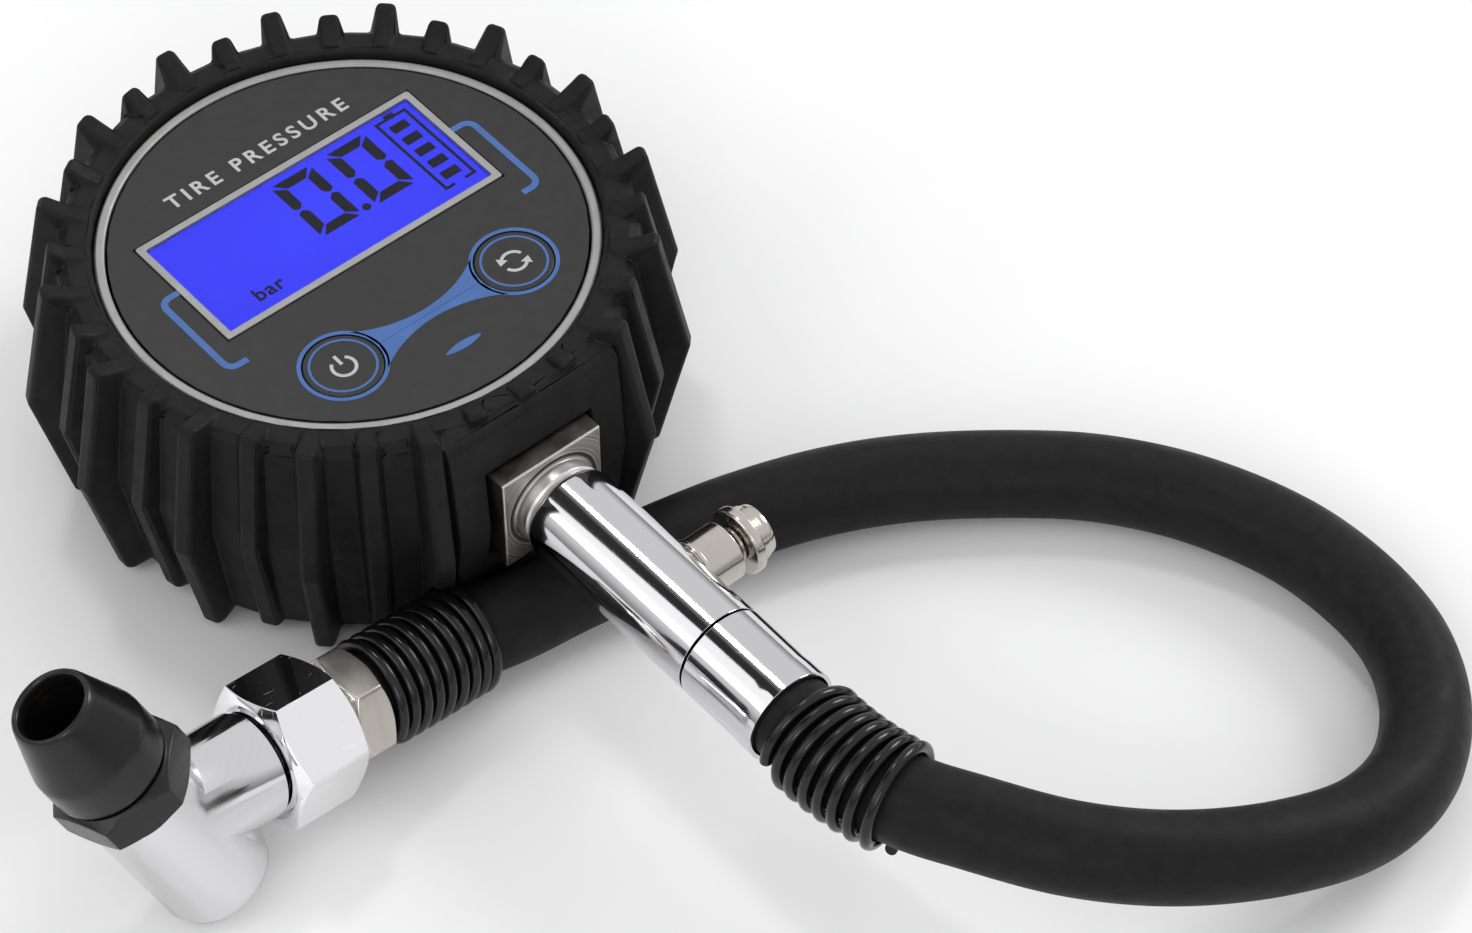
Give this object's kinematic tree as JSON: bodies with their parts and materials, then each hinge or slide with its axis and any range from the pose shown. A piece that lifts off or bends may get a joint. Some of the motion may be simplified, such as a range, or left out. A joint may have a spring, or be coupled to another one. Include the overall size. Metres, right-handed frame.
{
  "type": "tire pressure gauge",
  "caption": "Digital tire pressure gauge: round rubber-booted head with display, chromed stem with bleeder valve, and a rubber hose ending in a swivel air chuck.",
  "frame": {"origin": "centre of the rubber boot's flat back face, on the surface that the gauge lies on", "axes": "+Z out of the display face, -Y along the stem towards the hose, +X to the right of the display"},
  "size_m": [0.149, 0.173, 0.0389],
  "materials": {
    "boot_rubber": "matte moulded rubber, soft sheen",
    "case_plastic": "matte black moulding",
    "screw_steel": "zinc-plated steel",
    "cell_sleeve": "printed sleeve",
    "contact_steel": "nickel-plated spring steel",
    "silver_trim": "satin silver",
    "face_graphic": "charcoal printed film, blue graphics",
    "black_plastic": "matte black",
    "window_trim": "satin silver",
    "clear_window": "clear polycarbonate",
    "display_glass": "blue backlit liquid-crystal display",
    "light_guide": "milky diffuser",
    "button_pad": "charcoal printed film",
    "switch_body": "black switch moulding",
    "circuit_laminate": "green solder mask",
    "chip_epoxy": "black epoxy",
    "buzzer_can": "black moulding",
    "machined_brass": "machined, dull nickel wash",
    "sensor_steel": "drawn steel can",
    "seal_rubber": "black nitrile",
    "chrome_plate": "bright chrome",
    "nickel_plate": "satin nickel",
    "spring_steel": "drawn wire",
    "hose_rubber": "matte extruded rubber",
    "guard_enamel": "gloss black enamel",
    "nose_black": "satin black",
    "brass": "turned brass"
  },
  "bodies": {
    "gauge": {"rubber_boot": "boot_rubber", "case_body": "case_plastic", "back_cover": "case_plastic", "battery_door": "case_plastic", "case_screw_1": "screw_steel", "case_screw_2": "screw_steel", "case_screw_3": "screw_steel", "case_screw_4": "screw_steel", "battery_door_screw": "screw_steel", "battery_1": "cell_sleeve", "battery_2": "cell_sleeve", "contact_plate": "contact_steel", "contact_springs": "contact_steel", "bezel_ring": "silver_trim", "face_overlay": "face_graphic", "face_plate": "black_plastic", "lcd_frame": "window_trim", "lcd_window": "clear_window", "lcd_panel": "display_glass", "backlight": "light_guide", "power_switch": "switch_body", "function_switch": "switch_body", "circuit_board": "circuit_laminate", "controller_chip": "chip_epoxy", "buzzer": "buzzer_can", "stem_block": "machined_brass", "pressure_sensor": "sensor_steel", "sensor_seal": "seal_rubber", "valve_body": "chrome_plate", "hose_ferrule": "chrome_plate", "swivel_coupling": "chrome_plate", "bleeder_barrel": "nickel_plate", "hose_end_nut": "nickel_plate", "bleeder_spring": "spring_steel", "hose": "hose_rubber", "hose_guard_stem": "guard_enamel", "hose_guard_chuck": "guard_enamel"},
    "power_button": {"power_button": "button_pad"},
    "function_button": {"function_button": "button_pad"},
    "bleeder": {"bleeder_button": "nickel_plate", "bleeder_seal": "seal_rubber"},
    "chuck": {"chuck_body": "chrome_plate", "nose_collar": "nose_black", "nose_cone": "nose_black", "nose_seal": "seal_rubber", "plunger_spring": "spring_steel"},
    "plunger": {"chuck_plunger": "brass"}
  },
  "joints": [
    {"name": "power_press", "type": "slide", "parent": "gauge", "child": "power_button", "axis": [0, 0, -1], "range_m": [0, 0.0005], "stiffness_N_per_m": 1500, "springref_m": -0.0003},
    {"name": "function_press", "type": "slide", "parent": "gauge", "child": "function_button", "axis": [0, 0, -1], "range_m": [0, 0.0005], "stiffness_N_per_m": 1500, "springref_m": -0.0003},
    {"name": "bleeder_press", "type": "slide", "parent": "gauge", "child": "bleeder", "axis": [-1, 0, 0], "range_m": [0, 0.0012], "stiffness_N_per_m": 2500, "springref_m": -0.001, "deforming": ["bleeder_spring"]},
    {"name": "chuck_swivel", "type": "hinge", "parent": "gauge", "child": "chuck", "pos_m": [-0.0601, -0.0423, 0.0151], "axis": [0.983, 0.0644, -0.1722], "continuous": true},
    {"name": "plunger_press", "type": "slide", "parent": "chuck", "child": "plunger", "axis": [0.3448, -0.2337, -0.9091], "range_m": [0, 0.002], "stiffness_N_per_m": 1000, "springref_m": -0.001, "deforming": ["plunger_spring"]}
  ]
}
